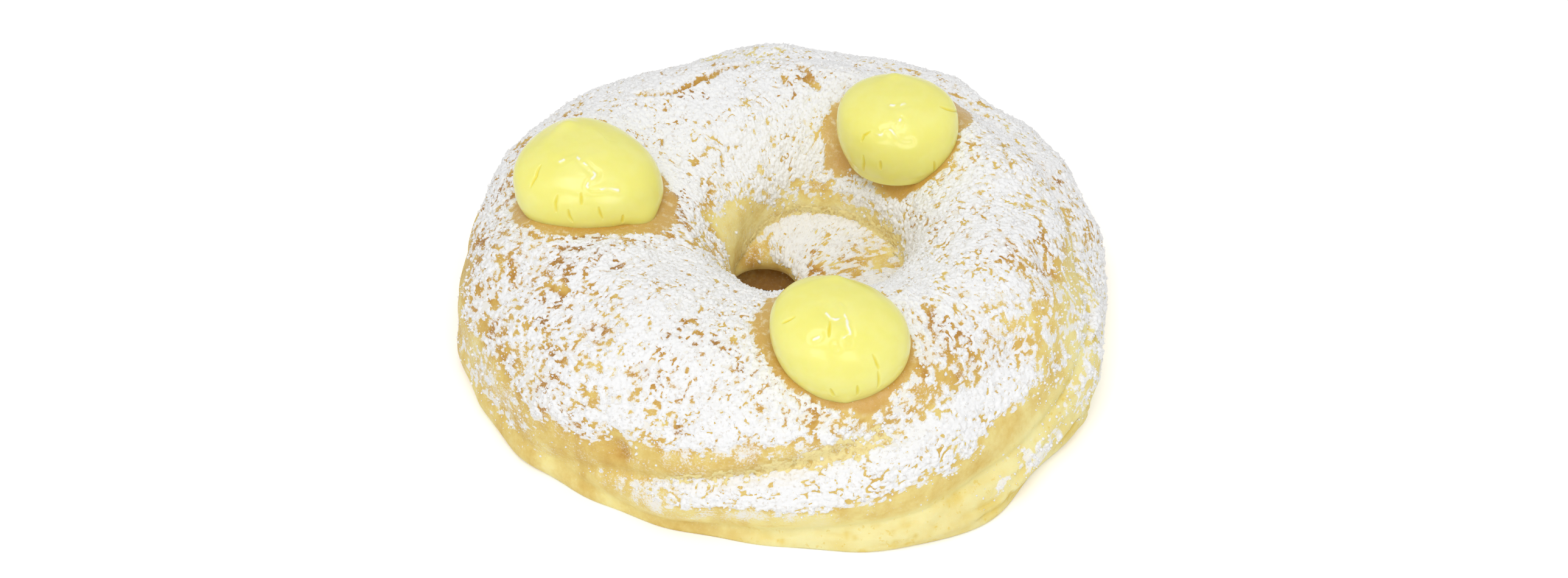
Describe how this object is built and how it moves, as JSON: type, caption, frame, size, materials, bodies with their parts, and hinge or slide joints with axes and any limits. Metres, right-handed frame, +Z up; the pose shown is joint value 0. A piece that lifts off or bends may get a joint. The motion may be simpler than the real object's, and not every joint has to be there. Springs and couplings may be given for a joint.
{
  "type": "cream-topped choux ring",
  "caption": "Baked choux pastry ring, piped as a spiral rope round an off-centre hole, dusted with sugar and topped with dollops of custard cream.",
  "frame": {"origin": "centre of the flat underside, under the middle of the whole piece", "axes": "+Z up through the hole, -Y towards the viewer of the picture, +X to the viewer's right"},
  "size_m": [0.1112, 0.1072, 0.0378],
  "materials": {
    "crust": "matte baked crust, golden",
    "cream": "glossy custard cream, pale yellow",
    "sugar": "matte powdered sugar, white"
  },
  "bodies": {
    "root": {"choux_ring": "crust", "cream_dollop_left": "cream", "cream_dollop_back": "cream", "cream_dollop_front": "cream"}
  },
  "joints": []
}
